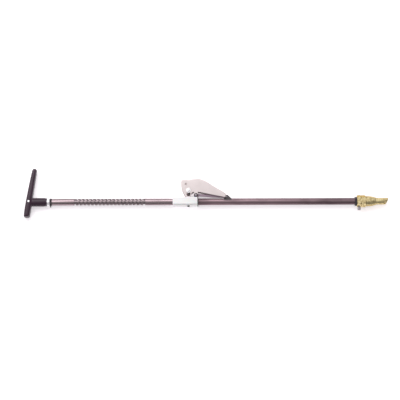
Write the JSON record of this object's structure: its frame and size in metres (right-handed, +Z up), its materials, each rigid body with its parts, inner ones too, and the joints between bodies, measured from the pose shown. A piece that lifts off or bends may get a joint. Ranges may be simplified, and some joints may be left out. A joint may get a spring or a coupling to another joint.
{
  "type": "grain probe",
  "caption": "Long hand probe with a cross handle, a sprung plunger in a steel tube, a lifting lock lever on a post and a brass nose with a slant-cut spout.",
  "frame": {"origin": "on the tube's axis, where the spout leaves the nose cone", "axes": "+X along the tube towards the spout's mouth, +Y towards the lever and the handle's long arm, +Z up with the probe lying down"},
  "size_m": [1.0004, 0.134, 0.0308],
  "materials": {
    "dark_plastic": "glossy moulded",
    "bright_steel": "polished",
    "black_steel": "black oxide",
    "rod_steel": "ground",
    "sleeve_steel": "drawn tube",
    "spring_steel": "oiled",
    "tube_steel": "drawn tube",
    "white_plastic": "moulded",
    "lever_sheet": "satin powder coat",
    "pin_steel": "zinc plated",
    "stay_plastic": "satin",
    "guide_nylon": "machined",
    "brass": "turned",
    "seal_rubber": "moulded"
  },
  "bodies": {
    "barrel": {"main_tube": "tube_steel", "guide_sleeve": "sleeve_steel", "front_seat": "sleeve_steel", "return_spring": "spring_steel", "pivot_block": "white_plastic", "block_end_plate": "black_steel", "block_screw": "black_steel", "pivot_post": "pin_steel", "post_rivets": "pin_steel", "post_spring": "black_steel", "lock_pad": "guide_nylon", "stay_bracket": "black_steel", "bracket_pin": "black_steel", "rear_guide": "guide_nylon", "front_guide": "guide_nylon", "jam_nut": "black_steel", "hex_nut": "brass", "nut_lock_screw": "bright_steel", "hex_body": "brass", "nose_cone": "brass", "spout": "brass"},
    "plunger": {"handle_grip": "dark_plastic", "grip_screw": "bright_steel", "ferrule": "bright_steel", "end_collar": "black_steel", "collar_screw": "black_steel", "upper_sleeve": "sleeve_steel", "rear_seat": "sleeve_steel", "plunger_rod": "rod_steel", "rod_pin": "bright_steel", "push_rod": "rod_steel", "push_head": "brass", "head_seal": "seal_rubber", "head_screw": "bright_steel"},
    "lever": {"hand_lever": "lever_sheet", "pivot_pin": "pin_steel", "pivot_washers": "bright_steel", "pivot_spacers": "guide_nylon", "link_pin": "pin_steel", "link_washers": "black_steel", "link_spacers": "guide_nylon"},
    "stay": {"stay_link": "stay_plastic"}
  },
  "joints": [
    {"name": "plunger_slide", "type": "slide", "parent": "barrel", "child": "plunger", "axis": [1, 0, 0], "range_m": [0, 0.04], "stiffness_N_per_m": 500, "springref_m": -0.02, "deforming": ["return_spring"]},
    {"name": "lever_hinge", "type": "hinge", "parent": "barrel", "child": "lever", "pos_m": [-0.515, 0.0298, 0], "axis": [0, 0, 1], "range_deg": [0, 50], "stiffness_Nm_per_rad": 0.3, "springref_deg": -20.05},
    {"name": "stay_hinge", "type": "hinge", "parent": "lever", "child": "stay", "pos_m": [-0.4944, 0.0166, 0], "axis": [0, 0, 1], "range_deg": [-65.03, 0.5]}
  ],
  "couplings": [
    {"joint": "stay_hinge", "follows": "lever_hinge", "ratio": -1.2807}
  ]
}
